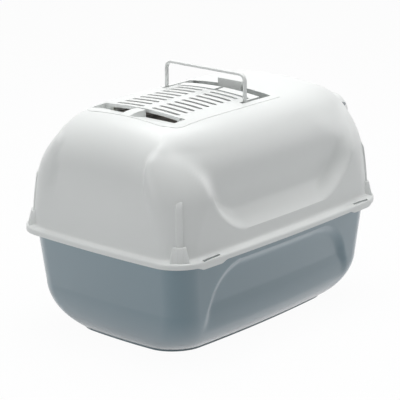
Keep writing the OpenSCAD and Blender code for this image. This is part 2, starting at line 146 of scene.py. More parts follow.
def soften_edges(piece, radius, segments=3, angle=32):
    apply_modifier(piece, "BEVEL", width=radius, segments=segments, limit_method="ANGLE",
                   angle_limit=math.radians(angle), use_clamp_overlap=True)


def shade(piece, angle=40):
    choose(piece)
    bpy.ops.object.shade_smooth_by_angle(angle=math.radians(angle))


def cut(piece, cutter, operation="DIFFERENCE", solver="EXACT"):
    """Cuts a piece with another closed one, which is used up."""
    apply_modifier(piece, "BOOLEAN", object=cutter, operation=operation, solver=solver)
    bpy.data.objects.remove(cutter)


def join(pieces):
    deselect()
    for piece in pieces:
        piece.select_set(True)
    bpy.context.view_layer.objects.active = pieces[0]
    bpy.ops.object.join()
    return bpy.context.object


def block(name, low, high):
    """A box between two corners, in metres."""
    deselect()
    low, high = Vector(low), Vector(high)
    bpy.ops.mesh.primitive_cube_add(size=1, location=(low + high) / 2)
    piece = bpy.context.object
    piece.name = name
    piece.scale = high - low
    settle(piece)
    return piece


def rod(name, radius, start, end, sides=48):
    deselect()
    start, end = Vector(start), Vector(end)
    along = end - start
    bpy.ops.mesh.primitive_cylinder_add(vertices=sides, radius=radius, depth=along.length,
                                        location=(start + end) / 2)
    piece = bpy.context.object
    piece.name = name
    piece.rotation_euler = along.to_track_quat("Z", "Y").to_euler()
    settle(piece)
    return piece


def extrude_to(step):
    bpy.ops.mesh.extrude_region_move(TRANSFORM_OT_translate={"value": step})


def finish_piece(piece, body, material, stands_for=()):
    piece.data.materials.clear()
    piece.data.materials.append(material)
    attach(piece, body)
    if stands_for:
        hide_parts(*stands_for)
    print(piece.name, "rides on", body, "with", len(piece.data.polygons), "faces")

# %% Rounded panel helper
ROUND_STEPS = 10


def rounded_panel(name, half_w, low, high, r_low, r_high, y0, y1):
    """A rectangle in the XZ plane with round corners, extruded from y0 to y1."""
    deselect()
    bpy.ops.mesh.primitive_plane_add(size=1, rotation=(math.pi / 2, 0, 0))
    panel = bpy.context.object
    panel.name = name
    panel.scale = (2 * half_w, high - low, 1)
    panel.location = (0, y0, (low + high) / 2)
    settle(panel)
    middle = (low + high) / 2
    for r, at_top in ((r_low, False), (r_high, True)):
        choose(panel)
        for vertex in panel.data.vertices:
            near_corner = abs(vertex.co.z - (high if at_top else low)) < 0.1 * MM
            vertex.select = near_corner and (vertex.co.z > middle) == at_top
        for part in (*panel.data.edges, *panel.data.polygons):
            part.select = False
        bpy.ops.object.mode_set(mode="EDIT")
        bpy.ops.mesh.select_mode(type="VERT")
        bpy.ops.mesh.bevel(offset=r, segments=ROUND_STEPS, affect="VERTICES")
        bpy.ops.object.mode_set(mode="OBJECT")
    choose(panel)
    bpy.ops.object.mode_set(mode="EDIT")
    bpy.ops.mesh.select_all(action="SELECT")
    extrude_to((0, y1 - y0, 0))
    bpy.ops.object.mode_set(mode="OBJECT")
    point_outwards(panel)
    return panel

# %% [markdown]
# ## The box's own curves
# Seen from above, every level of the hood and the pan is the same kind of figure: a rectangle with
# round corners whose sides bow outward a little. One function draws it at any size, another bows it,
# and a level of a moulding is that figure at a height.

# %% Outline of one level
HALF_W = hood_high.x
HALF_L = hood_high.y
RIM_R = 54 * MM
BOW_SIDE = 9 * MM
BOW_END = 7 * MM
CORNER_STEP = 8 * MM
SIDE_POINTS = 104
END_POINTS = 96
ARC_POINTS = 26


def outline(w, l, r, r_along=None):
    """A level's points; its corners are quarter circles, or longer along Y where r_along is given."""
    r_along = r_along or r
    points = []
    for quarter in range(4):
        sx = 1 if quarter in (0, 3) else -1
        sy = 1 if quarter in (0, 1) else -1
        side = SIDE_POINTS if quarter in (0, 2) else END_POINTS
        for i in range(side):
            t = 2 * i / side - 1
            if quarter in (0, 2):
                points.append((sx * w, sx * (l - r_along) * t))
            else:
                points.append((-sy * (w - r) * t, sy * l))
        for i in range(ARC_POINTS):
            a = math.radians(90 * quarter + 90 * i / ARC_POINTS)
            points.append((sx * (w - r) + r * math.cos(a),
                           sy * (l - r_along) + r_along * math.sin(a)))
    return points


def bow(x, y, w, l):
    """Moves a point of an outline in, by nothing at the middle of a side and most at its ends."""
    return (x - BOW_SIDE * (y / l) ** 2 * x / w, y - BOW_END * (x / w) ** 2 * y / l)


def clamp(value):
    return min(1.0, max(0.0, value))


def soft(value):
    """A share from 0 to 1 that starts and ends gently."""
    v = clamp(value)
    return v * v * (3 - 2 * v)


print("An outline has", len(outline(HALF_W, HALF_L, RIM_R)), "points")

# %% Wrapping a sheet round the levels
def wrap_sheet(name, levels, upward):
    """Wraps a flat grid round a stack of levels, welds its seam and points its faces outwards."""
    around, high = len(levels[0]), len(levels)
    deselect()
    bpy.ops.mesh.primitive_grid_add(x_subdivisions=around, y_subdivisions=high - 1, size=1)
    piece = bpy.context.object
    piece.name = name
    for vertex in piece.data.vertices:
        i = round((vertex.co.x + 0.5) * around) % around
        k = round((vertex.co.y + 0.5) * (high - 1))
        vertex.co = levels[k][i]
    point_outwards(piece)
    top = max(piece.data.polygons, key=lambda face: face.center.z if upward else -face.center.z)
    if (top.normal.z > 0) != upward:
        piece.data.flip_normals()
    return piece

# %% [markdown]
# ## Finishes
# Both big pieces are injection-moulded polypropylene: satin, with a very fine grain that only breaks up
# the highlights. One node group makes that grain and its slight tone changes, and each plastic uses it
# with its own values. The pan's colour is painted paler where its surface turns away from the camera,
# a painted reflection of the white floor.

# %% Node group for a moulded surface
def add_socket(group, name, kind, way, value=None):
    socket = group.interface.new_socket(name=name, in_out=way, socket_type=kind)
    if value is not None:
        socket.default_value = value
    return socket


def make_moulded_group():
    group = bpy.data.node_groups.new("moulded_surface", "ShaderNodeTree")
    add_socket(group, "Colour", "NodeSocketColor", "INPUT", (0.8, 0.8, 0.8, 1))
    add_socket(group, "Tone Change", "NodeSocketFloat", "INPUT", 0.03)
    add_socket(group, "Roughness", "NodeSocketFloat", "INPUT", 0.3)
    add_socket(group, "Grain Height", "NodeSocketFloat", "INPUT", 0.1)
    add_socket(group, "Grain Scale", "NodeSocketFloat", "INPUT", 900)
    add_socket(group, "Colour", "NodeSocketColor", "OUTPUT")
    add_socket(group, "Roughness", "NodeSocketFloat", "OUTPUT")
    add_socket(group, "Normal", "NodeSocketVector", "OUTPUT")
    nodes, links = group.nodes, group.links
    inputs = nodes.new("NodeGroupInput")
    outputs = nodes.new("NodeGroupOutput")
    place = nodes.new("ShaderNodeTexCoord")
    clouds = nodes.new("ShaderNodeTexNoise")
    clouds.inputs["Scale"].default_value = 7
    clouds.inputs["Detail"].default_value = 3
    grain = nodes.new("ShaderNodeTexNoise")
    grain.inputs["Detail"].default_value = 2
    links.new(place.outputs["Object"], clouds.inputs["Vector"])
    links.new(place.outputs["Object"], grain.inputs["Vector"])
    links.new(inputs.outputs["Grain Scale"], grain.inputs["Scale"])
    shift = nodes.new("ShaderNodeMath")
    shift.operation = "SUBTRACT"
    shift.inputs[1].default_value = 0.5
    links.new(clouds.outputs["Fac"], shift.inputs[0])
    strength = nodes.new("ShaderNodeMath")
    strength.operation = "MULTIPLY_ADD"
    strength.inputs[2].default_value = 1.0
    links.new(shift.outputs[0], strength.inputs[0])
    links.new(inputs.outputs["Tone Change"], strength.inputs[1])
    tone = nodes.new("ShaderNodeVectorMath")
    tone.operation = "SCALE"
    links.new(inputs.outputs["Colour"], tone.inputs[0])
    links.new(strength.outputs[0], tone.inputs["Scale"])
    links.new(tone.outputs[0], outputs.inputs["Colour"])
    rough = nodes.new("ShaderNodeMath")
    rough.operation = "MULTIPLY_ADD"
    rough.inputs[1].default_value = 0.08
    links.new(shift.outputs[0], rough.inputs[0])
    links.new(inputs.outputs["Roughness"], rough.inputs[2])
    links.new(rough.outputs[0], outputs.inputs["Roughness"])
    bump = nodes.new("ShaderNodeBump")
    bump.inputs["Distance"].default_value = 0.0002
    links.new(grain.outputs["Fac"], bump.inputs["Height"])
    links.new(inputs.outputs["Grain Height"], bump.inputs["Strength"])
    links.new(bump.outputs["Normal"], outputs.inputs["Normal"])
    return group


moulded_surface = make_moulded_group()
print("Node group:", moulded_surface.name)

# %% Plastics
# The colour of a painted reflection, mixed into a plastic's own colour where its surface turns away.
PAINTED_REFLECTION_COLOUR = (0.72, 0.76, 0.80)


def make_plastic(name, colour, roughness, tone_change=0.03, grain_height=0.1, alpha=1.0, edge=0.0):
    """A moulded plastic; edge is how far its colour goes over to a painted pale reflection where the surface
    turns away.
    """
    material = bpy.data.materials.new(name)
    material.use_nodes = True
    nodes, links = material.node_tree.nodes, material.node_tree.links
    surface = nodes["Principled BSDF"]
    group = nodes.new("ShaderNodeGroup")
    group.node_tree = moulded_surface
    group.inputs["Colour"].default_value = (*colour, 1)
    group.inputs["Tone Change"].default_value = tone_change
    group.inputs["Roughness"].default_value = roughness
    group.inputs["Grain Height"].default_value = grain_height
    # Painted reflection: the edge value mixes a pale tint into the base colour where the surface faces away
    # from the camera.
    facing = nodes.new("ShaderNodeLayerWeight")
    facing.inputs["Blend"].default_value = 0.35
    painted_reflection_share = nodes.new("ShaderNodeMath")
    painted_reflection_share.operation = "MULTIPLY"
    painted_reflection_share.inputs[1].default_value = edge
    mix = nodes.new("ShaderNodeMix")
    mix.data_type = "RGBA"
    mix.inputs["B"].default_value = (*PAINTED_REFLECTION_COLOUR, 1)
    links.new(facing.outputs["Facing"], painted_reflection_share.inputs[0])
    links.new(painted_reflection_share.outputs[0], mix.inputs["Factor"])
    links.new(group.outputs["Colour"], mix.inputs["A"])
    links.new(mix.outputs["Result"], surface.inputs["Base Color"])
    links.new(group.outputs["Roughness"], surface.inputs["Roughness"])
    links.new(group.outputs["Normal"], surface.inputs["Normal"])
    surface.inputs["IOR"].default_value = 1.49
    surface.inputs["Alpha"].default_value = alpha
    return material


white_plastic = make_plastic("white_polypropylene", (0.80, 0.82, 0.81), 0.3)
# The pan's edge value paints a pale reflection of the white floor onto its turned-away faces.
pan_plastic = make_plastic("blue_grey_polypropylene", (0.18, 0.27, 0.315), 0.2, 0.05, edge=0.75)
smoke_plastic = make_plastic("smoke_polystyrene", (0.33, 0.37, 0.40), 0.12, 0.02, 0.04, alpha=0.55)
tab_plastic = make_plastic("yellow_green_film", (0.42, 0.50, 0.12), 0.4, 0.05)
print("Plastics:", white_plastic.name, pan_plastic.name, smoke_plastic.name, tab_plastic.name)

# %% [markdown]
# ## The hood
# The hood is one thin moulding. Its side walls rise almost straight, roll over a wide shoulder into a
# gently crowned roof, and each end wall leans into the roof between two fuller cheeks. A scooped panel
# is pressed into each long side. All of it is written as limits: a point of the plain barrel is moved
# in wherever a panel's surface lies deeper, so panel edges stay crisp where they should.

# %% Hood sizes
LIP_Z = 173 * MM
LIP_H = 9 * MM
WALL_Z = LIP_Z + LIP_H + 8 * MM
FLANGE_SIDE = 14 * MM
FLANGE_END = 11 * MM
HOOD_SIDE = HALF_W - FLANGE_SIDE
HOOD_END = HALF_L - FLANGE_END
ROOF_Z = 388 * MM
CROWN_R = 720 * MM
SHOULDER_SIDE = 82 * MM
SHOULDER_END = 36 * MM
SHOULDER_H = 110 * MM
WALL = 2.6 * MM
PANEL_Z = 207 * MM
PANEL_DEPTH = 24 * MM
PANEL_FOOT = 154 * MM
PANEL_SLANT = 0.5
PANEL_CORNER = 60 * MM
PANEL_LEDGE = 36 * MM
PANEL_FADE_Z = PANEL_Z + 36 * MM
PANEL_FADE = 130 * MM
END_DEPTH = 8 * MM
END_DEPTH_Z = WALL_Z + 20 * MM
END_DEPTH_RISE = 90 * MM
END_LEAN = 0.02
END_HALF = 97 * MM
END_ROUND = 85 * MM


def crown_z(x):
    return ROOF_Z - CROWN_R + math.sqrt(CROWN_R ** 2 - x ** 2)


SHOULDER_Z = crown_z(HOOD_SIDE - SHOULDER_SIDE) - SHOULDER_H


def inside_corner(dx, dz, corner):
    """Depth inside a shape with one straight side, one level edge and a round corner between them."""
    if dx <= 0 or dz <= 0:
        return 0.0
    return corner - math.hypot(max(corner - dx, 0), max(corner - dz, 0))


def scoop_share(y, z):
    """How much of a side panel's depth a place takes."""
    reach = PANEL_FOOT + PANEL_SLANT * (z - PANEL_Z)
    depth = inside_corner(reach - abs(y), z - PANEL_Z, PANEL_CORNER)
    return math.sin(math.pi / 2 * clamp(depth / PANEL_LEDGE))


def end_face(x, z):
    """How far out an end panel stands; it leans in a little and rolls over into the roof."""
    press = END_DEPTH * soft((z - END_DEPTH_Z) / END_DEPTH_RISE)
    face = HOOD_END - BOW_END * (x / HOOD_SIDE) ** 2 - press - END_LEAN * (z - WALL_Z)
    rise = (z - (crown_z(x) - END_ROUND)) / END_ROUND
    return face - END_ROUND * (1 - math.sqrt(1 - clamp(rise) ** 2))


CREASE_W = 14 * MM
CREASE_SOFT_Z = 310 * MM
CREASE_SOFT_FALL = 60 * MM
CREASE_TOP_Z = 336 * MM
CREASE_TOP_RISE = 50 * MM
CREASE_TOP_OUT = 20 * MM
CREASE_FOOT_Z = 300 * MM
CREASE_FOOT_FALL = 40 * MM
CREASE_FOOT_OUT = 12 * MM


def end_share(x, z):
    """How much of an end panel a place takes; a crease bounds it, and it is softer low down."""
    reach = END_HALF + CREASE_TOP_OUT * clamp((z - CREASE_TOP_Z) / CREASE_TOP_RISE)
    reach += CREASE_FOOT_OUT * clamp((CREASE_FOOT_Z - z) / CREASE_FOOT_FALL)
    edge = CREASE_W * (1 + soft((CREASE_SOFT_Z - z) / CREASE_SOFT_FALL))
    return soft((reach - abs(x)) / edge + 0.5)


def press_panels(x, y, z):
    """Moves a point of the plain barrel in to the surface of a panel that lies deeper."""
    plain = HOOD_SIDE - BOW_SIDE * (y / HOOD_END) ** 2
    fade = 1 - soft((z - PANEL_FADE_Z) / PANEL_FADE)
    side = min(abs(x), plain) - PANEL_DEPTH * scoop_share(y, z) * fade
    x = math.copysign(min(abs(x), side), x)
    over = max(0.0, abs(y) - end_face(x, z))
    y = math.copysign(abs(y) - end_share(x, z) * over, y)
    return (x, y, z)


print("The shoulder starts at", round(SHOULDER_Z, 4))

# %% Rim levels
TAB_Y = 203 * MM
TAB_HALF = 36 * MM
TAB_SLOPE = 16 * MM
TAB_DROP = 4.5 * MM
TAB_X = HALF_W - BOW_SIDE * (TAB_Y / HALF_L) ** 2


def flange_level(inset, z):
    w, l = HALF_W - FLANGE_SIDE * inset, HALF_L - FLANGE_END * inset
    return [(*bow(x, y, w, l), z) for x, y in outline(w, l, RIM_R - CORNER_STEP * inset)]


def lip_foot():
    """The lip's lower edge, which hangs a little lower at the four snap tabs."""
    level = []
    for x, y, z in flange_level(0, LIP_Z):
        share = soft((TAB_HALF - abs(abs(y) - TAB_Y)) / TAB_SLOPE)
        level.append((x, y, z - TAB_DROP * share))
    return level


# Each pair is a share of the flange's width, from the lip inwards, and a rise above the lip's foot in mm.
FLANGE_PROFILE = [(0, 0), (0, 3), (0, 6.4), (0.05, 8), (0.13, 9), (0.3, 9.8), (0.55, 10.7),
                  (0.76, 11.6), (0.88, 12.6), (0.95, 14.2), (0.99, 17.4)]
rim_levels = [lip_foot()]
rim_levels += [flange_level(inset, LIP_Z + rise * MM) for inset, rise in FLANGE_PROFILE[1:]]
print("The rim has", len(rim_levels), "levels")

# %% Hood levels
GROWTH_TOP_Z = PANEL_Z + 141 * MM
GROWTH_RISE = 150 * MM
GROWTH_POWER = 1.8
GROWTH_ACROSS = 30 * MM
GROWTH_ALONG = 105 * MM
LONGEST_CORNER = 200 * MM
SHORTEST_SIDE = 4 * MM
FIRST_WALL_Z = LIP_Z + 23 * MM
WALL_STEPS = 27
SHOULDER_STEPS = 34
ROOF_STEPS = 12


def corner_radii(z, w):
    """The hood's corners grow rounder with height, and more along the sides than across the ends."""
    growth = ((min(z, GROWTH_TOP_Z) - WALL_Z) / GROWTH_RISE) ** GROWTH_POWER
    r = RIM_R - CORNER_STEP
    return min(r + GROWTH_ACROSS * growth, w - SHORTEST_SIDE), min(r + GROWTH_ALONG * growth, LONGEST_CORNER)


def wall_level(z):
    radii = corner_radii(z, HOOD_SIDE)
    return [press_panels(*bow(x, y, HOOD_SIDE, HOOD_END), z)
            for x, y in outline(HOOD_SIDE, HOOD_END, *radii)]


def shoulder_level(angle):
    in_w = SHOULDER_SIDE * (1 - math.cos(angle))
    in_l = SHOULDER_END * (1 - math.cos(angle))
    w, l = HOOD_SIDE - in_w, HOOD_END - in_l
    level = []
    for x, y in outline(w, l, *corner_radii(SHOULDER_Z + SHOULDER_H * math.sin(angle), w)):
        x, y = bow(x, y, w, l)
        z = SHOULDER_Z + (crown_z(x) - SHOULDER_Z) * math.sin(angle)
        level.append(press_panels(x, y, z))
    return level


def roof_level(share):
    """The shoulder's last level drawn in towards the middle of the roof."""
    return [(x * share, y * share, crown_z(x * share)) for x, y, z in shoulder_level(math.pi / 2)]


def hood_levels():
    wall_h = SHOULDER_Z - FIRST_WALL_Z
    levels = [wall_level(FIRST_WALL_Z + wall_h * i / WALL_STEPS) for i in range(WALL_STEPS)]
    levels += [shoulder_level(math.pi / 2 * i / SHOULDER_STEPS) for i in range(SHOULDER_STEPS + 1)]
    levels += [roof_level(1 - i / ROOF_STEPS) for i in range(1, ROOF_STEPS + 1)]
    return rim_levels + levels


hood_shell = wrap_sheet("hood_shell", hood_levels(), True)
apply_modifier(hood_shell, "SOLIDIFY", thickness=WALL, offset=-1)
print("Hood shell box:", [round(v, 4) for v in hood_shell.dimensions])

# %% [markdown]
# A copy of the uncut shell is kept until the end. Pieces that follow the hood's surface measure it
# with rays.

# %% The hood as a template
roof_template = hood_shell.copy()
roof_template.data = hood_shell.data.copy()
bpy.context.collection.objects.link(roof_template)


def ray_place(start, way):
    """Where a ray first meets the uncut hood."""
    return roof_template.ray_cast(start, way)[1]


def roof_height(x, y):
    return ray_place(Vector((x, y, 1)), Vector((0, 0, -1))).z


print("The roof's middle is at", round(roof_height(0, 0), 4))

# %% [markdown]
# Above each snap tab the rim has a narrow slot, left by the mould's slide. It shows as a thin dark line.
# The doorway is a little bigger than the door, and the door frame's ring covers its edge.

# %% Tab slots and doorway
SHELL_SOLVER = "MANIFOLD"
TAB_SLOT_X = TAB_X - WALL - 1.5 * MM
TAB_SLOT_LEN = 42 * MM
TAB_SLOT_W = 3.6 * MM
TAB_SLOT_LOW = LIP_Z + 4 * MM
TAB_SLOT_HIGH = LIP_Z + 24 * MM
DOOR_W = 196 * MM
DOOR_Z = WALL_Z + 15 * MM
DOOR_TOP = DOOR_Z + 138 * MM
DOOR_LOW_R = 26 * MM
DOOR_HIGH_R = 20 * MM
DOOR_PLAY = 2 * MM


def make_tab_slot_cutter(sx, sy):
    return block("slot_cutter",
                 (sx * TAB_SLOT_X - TAB_SLOT_W / 2, sy * TAB_Y - TAB_SLOT_LEN / 2, TAB_SLOT_LOW),
                 (sx * TAB_SLOT_X + TAB_SLOT_W / 2, sy * TAB_Y + TAB_SLOT_LEN / 2, TAB_SLOT_HIGH))


slot_cutters = join([make_tab_slot_cutter(sx, sy) for sx in (-1, 1) for sy in (-1, 1)])
cut(hood_shell, slot_cutters, solver=SHELL_SOLVER)
doorway = rounded_panel("doorway", DOOR_W / 2 + DOOR_PLAY, DOOR_Z - DOOR_PLAY, DOOR_TOP + DOOR_PLAY,
                        DOOR_LOW_R + DOOR_PLAY, DOOR_HIGH_R + DOOR_PLAY, -400 * MM, -200 * MM)
cut(hood_shell, doorway, solver=SHELL_SOLVER)
print("The cut shell has", len(hood_shell.data.polygons), "faces")

# %% [markdown]
# ## The corner lugs and ribs
# Each corner of the rim has a stacking lug, a wedge-shaped block with a stripe up its middle, and a
# low rib runs on from it up the wall. The rib's points are set from the wall behind it.

# %% Corner helpers
RAY_START = 200 * MM


def draw_in(piece, chosen, scale, centre):
    """Scales the vertices that a function picks, about a centre."""
    choose(piece)
    bpy.context.tool_settings.mesh_select_mode = (True, False, False)
    for part in (*piece.data.edges, *piece.data.polygons):
        part.select = False
    for vertex in piece.data.vertices:
        vertex.select = chosen(vertex.co)
    bpy.ops.object.mode_set(mode="EDIT")
    bpy.ops.transform.resize(value=scale, center_override=centre)
    bpy.ops.object.mode_set(mode="OBJECT")


def corner_frame(sx, sy):
    centre = Vector((sx * (HALF_W - RIM_R - BOW_SIDE), sy * (HALF_L - RIM_R - BOW_END), 0))
    return centre, Vector((sx, sy, 0)).normalized()


def wall_reach(sx, sy, z):
    """How far from a corner's centre the hood's wall stands at a height."""
    centre, out = corner_frame(sx, sy)
    start = centre + out * RAY_START
    start.z = z
    place = ray_place(start, -out)
    return (Vector((place.x, place.y, 0)) - centre).dot(out)


def turn_to_corner(piece, sx, sy):
    """Turns a piece made along +X about Z and moves it to a corner's centre."""
    centre, out = corner_frame(sx, sy)
    turn = Matrix.Rotation(math.atan2(sy, sx), 4, "Z")
    piece.data.transform(Matrix.Translation(centre) @ turn)


def slice_at(piece, place, normal):
    """Adds a row of edges round a piece where a plane meets it."""
    choose(piece)
    bpy.ops.object.mode_set(mode="EDIT")
    bpy.ops.mesh.select_all(action="SELECT")
    bpy.ops.mesh.bisect(plane_co=place, plane_no=normal)
    bpy.ops.object.mode_set(mode="OBJECT")


print("A corner's wall stands out", round(wall_reach(-1, 1, WALL_Z + 10 * MM), 4))

# %% Corner lugs and ribs
RIB_HALF = 5.5 * MM
RIB_PROUD = 2.5 * MM
RIB_SUNK = 4 * MM
RIB_LOW = WALL_Z - 2 * MM
RIB_TOP = WALL_Z + 88 * MM
RIB_FADE = 6 * MM
RIB_STEPS = 10
LUG_IN = RIM_R - 24 * MM
LUG_OUT = RIM_R - 2 * MM
LUG_LOW = LIP_Z + 8 * MM
LUG_TOP = WALL_Z + 17 * MM
LUG_HALF = 16.5 * MM
LUG_TOP_HALF = 10.5 * MM
LUG_LEAN = 6 * MM
STRIPE_HALF = 4 * MM
STRIPE_PROUD = 1.2 * MM
STRIPE_TOP = LUG_TOP - 1 * MM
LUG_SOFT = 1.1 * MM


def make_rib(sx, sy):
    rib = block("corner_rib", (0, -RIB_HALF, RIB_LOW), (LUG_OUT, RIB_HALF, RIB_TOP))
    for i in range(1, RIB_STEPS):
        slice_at(rib, (0, 0, RIB_LOW + (RIB_TOP - RIB_LOW) * i / RIB_STEPS), (0, 0, 1))
    for vertex in rib.data.vertices:
        z = vertex.co.z
        wall = wall_reach(sx, sy, max(z, WALL_Z + 2 * MM))
        fade = clamp((RIB_TOP - z) / RIB_FADE)
        vertex.co.x = wall + (RIB_PROUD * fade if vertex.co.x > LUG_OUT / 2 else -RIB_SUNK)
    return rib


def make_lug(sx, sy):
    lug = block("corner_lug", (LUG_IN, -LUG_HALF, LUG_LOW), (LUG_OUT, LUG_HALF, LUG_TOP))
    narrow = (1, LUG_TOP_HALF / LUG_HALF, 1)
    draw_in(lug, lambda p: p.z > STRIPE_TOP, narrow, (LUG_OUT, 0, LUG_TOP))
    lean = (LUG_OUT - LUG_LEAN, 0, LUG_TOP)
    draw_in(lug, lambda p: p.z > STRIPE_TOP and p.x > LUG_IN + 1 * MM, (0, 1, 1), lean)
    stripe = block("lug_stripe", (LUG_OUT - LUG_LEAN, -STRIPE_HALF, LUG_LOW),
                   (LUG_OUT + STRIPE_PROUD, STRIPE_HALF, STRIPE_TOP))
    lean = (LUG_OUT - LUG_LEAN + 1 * MM, 0, LUG_TOP)
    draw_in(stripe, lambda p: p.z > STRIPE_TOP - 1 * MM and p.x > LUG_OUT, (0, 1, 1), lean)
    parts = [lug, stripe, make_rib(sx, sy)]
    for part in parts:
        soften_edges(part, LUG_SOFT)
        turn_to_corner(part, sx, sy)
    return join(parts)


corner_lugs = join([make_lug(sx, sy) for sx in (-1, 1) for sy in (-1, 1)])
corner_lugs.name = "corner_lugs"
shade(corner_lugs)
finish_piece(corner_lugs, "hood", white_plastic)

# %% [markdown]
# ## The deck in the roof
# A slightly raised panel in the roof carries everything that moves up there. It holds the seat of the
# filter cover, the pocket under it, two finger ramps at the cover's free edge and the trough that the
# handle folds into. It is cut from one crowned block, the way the mould's core would leave it.

# %% Deck, cover and handle sizes
DECK_HALF = 102 * MM
DECK_FAR = -78 * MM
DECK_NEAR = 201 * MM
DECK_RISE = 0.8 * MM
DECK_CORNER = 30 * MM
DECK_FLOOR = ROOF_Z - 30 * MM
DECK_LAP = 3 * MM
COVER_HALF = 78 * MM
COVER_FRONT = 155 * MM
COVER_BACK = COVER_FRONT - 174 * MM
COVER_T = 3 * MM
COVER_GAP = 0.6 * MM
COVER_AXIS_Y = COVER_BACK + 5 * MM
COVER_AXIS_Z = crown_z(COVER_HALF) - 5 * MM
HINGE_ROOM = 6 * MM
COVER_SWING = math.hypot(COVER_AXIS_Y - COVER_BACK, ROOF_Z - COVER_AXIS_Z) + COVER_GAP
PAD_HALF = COVER_HALF - 9 * MM
PAD_FRONT = COVER_FRONT + 3 * MM
PAD_BACK = COVER_BACK + 14 * MM
PAD_TOP = DECK_FLOOR + 12.6 * MM
HANDLE_HALF = 89 * MM
HANDLE_Y = -2 * MM
HANDLE_Z = ROOF_Z - 16 * MM
HANDLE_H = 60 * MM
STRAP_T = 4.5 * MM
STRAP_W = 11 * MM
TROUGH_HALF = HANDLE_HALF + 1 * MM
TROUGH_FAR = HANDLE_Y - HANDLE_H - 6 * MM
TROUGH_NEAR = HANDLE_Y + 10 * MM
TROUGH_Z = HANDLE_Z - 8 * MM
TROUGH_PLAY = 1.5 * MM
CROSS_W = 22 * MM
NOTCH_HALF = 26 * MM
NOTCH_REACH = 6 * MM
NOTCH_Z = TROUGH_Z + 6 * MM
print("The deck is", round(2 * DECK_HALF, 4), "wide and", round(DECK_NEAR - DECK_FAR, 4), "long")

# %% Crowned block
CROWN_STEPS = 24
CROWN_ROWS = (100, 130, 155, 170, 180, 187, 192, 197)
BLANK_LOW = 380 * MM
BLANK_HIGH = 400 * MM


def crowned_block(name, low, high, drop, thickness=None):
    """A block whose top follows the roof, lowered by drop; a thickness makes its underside follow too."""
    piece = block(name, low, high)
    for i in range(1, CROWN_STEPS):
        slice_at(piece, (low[0] + (high[0] - low[0]) * i / CROWN_STEPS, 0, 0), (1, 0, 0))
    for row in CROWN_ROWS:
        if low[1] < row * MM < high[1]:
            slice_at(piece, (0, row * MM, 0), (0, 1, 0))
    middle = (low[2] + high[2]) / 2
    for vertex in piece.data.vertices:
        top = roof_height(vertex.co.x, vertex.co.y) + DECK_RISE - drop
        if vertex.co.z > middle:
            vertex.co.z = top
        elif thickness:
            vertex.co.z = top - thickness
    return piece


def above_crown(name, low, high, drop):
    """A cutter that takes away what lies above the crown lowered by drop."""
    cutter = crowned_block(name, low, high, drop)
    middle = sum(v.co.z for v in cutter.data.vertices) / len(cutter.data.vertices)
    for vertex in cutter.data.vertices:
        crown = roof_height(vertex.co.x, vertex.co.y) + DECK_RISE - drop
        vertex.co.z = high[2] if vertex.co.z < middle else crown
    cutter.data.flip_normals()
    return cutter


def deck_column(name, inset, low, high):
    """The deck's outline as a column, with round corners at its near end."""
    column = block(name, (-DECK_HALF + inset, DECK_FAR + inset, low),
                   (DECK_HALF - inset, DECK_NEAR - inset, high))
    for edge in column.data.edges:
        ends = [column.data.vertices[i].co for i in edge.vertices]
        edge.select = all(end.y > 0 for end in ends) and abs(ends[0].z - ends[1].z) > 0.01
    select_edges_only(column)
    bpy.ops.mesh.bevel(offset=DECK_CORNER - inset, segments=ROUND_STEPS, affect="EDGES")
    bpy.ops.object.mode_set(mode="OBJECT")
    return column

# %% Finger ramps
SCOOP_IN = 10 * MM
SCOOP_OUT = 88 * MM
SCOOP_LEN = 42 * MM
SCOOP_DROP = 12 * MM
SCOOP_FLARE = 8 * MM
RAMP_TOP_X = 50 * MM
WELL_LEN = 4 * MM
WELL_LAP = 0.01 * MM
DECK_CUT_TOP = ROOF_Z + 10 * MM


def make_ramp_cutters(side):
    """A slope down to the cover's free edge, and the well in front of the pad."""
    y0 = COVER_FRONT + COVER_GAP
    x0, x1 = (SCOOP_IN, SCOOP_OUT) if side > 0 else (-SCOOP_OUT, -SCOOP_IN)
    ramp_low = crown_z(SCOOP_IN) - SCOOP_DROP
    ramp_end = roof_height(RAMP_TOP_X, y0 + SCOOP_LEN) + DECK_RISE
    ramp = block("ramp_cutter", (x0, y0 + WELL_LEN, ramp_low), (x1, y0 + SCOOP_LEN, DECK_CUT_TOP))
    for vertex in ramp.data.vertices:
        if vertex.co.y > y0 + SCOOP_LEN / 2 and vertex.co.z < ROOF_Z:
            vertex.co.z = ramp_end
        elif vertex.co.y > y0 + SCOOP_LEN / 2:
            vertex.co.y += SCOOP_FLARE
    well = block("well_cutter", (x0, y0 - WELL_LEN, PAD_TOP),
                 (x1, y0 + WELL_LEN + WELL_LAP, DECK_CUT_TOP))
    return [ramp, well]


print("Each finger ramp is", round(SCOOP_OUT - SCOOP_IN, 4), "wide")

# %% Deck
def make_handle_trough():
    """The cutters of the handle's trough: two legs, the crossbar and a finger notch."""
    cutters = []
    for side in (1, -1):
        x0, x1 = sorted((side * (HANDLE_HALF - STRAP_T - TROUGH_PLAY), side * TROUGH_HALF))
        cutters.append(block("trough_leg", (x0, TROUGH_FAR, TROUGH_Z), (x1, TROUGH_NEAR, DECK_CUT_TOP)))
    cutters.append(block("trough_cross", (-TROUGH_HALF, TROUGH_FAR, TROUGH_Z),
                         (TROUGH_HALF, TROUGH_FAR + CROSS_W, DECK_CUT_TOP)))
    cutters.append(block("finger_notch", (-NOTCH_HALF, TROUGH_FAR - NOTCH_REACH, NOTCH_Z),
                         (NOTCH_HALF, TROUGH_FAR + 1 * MM, DECK_CUT_TOP)))
    return cutters


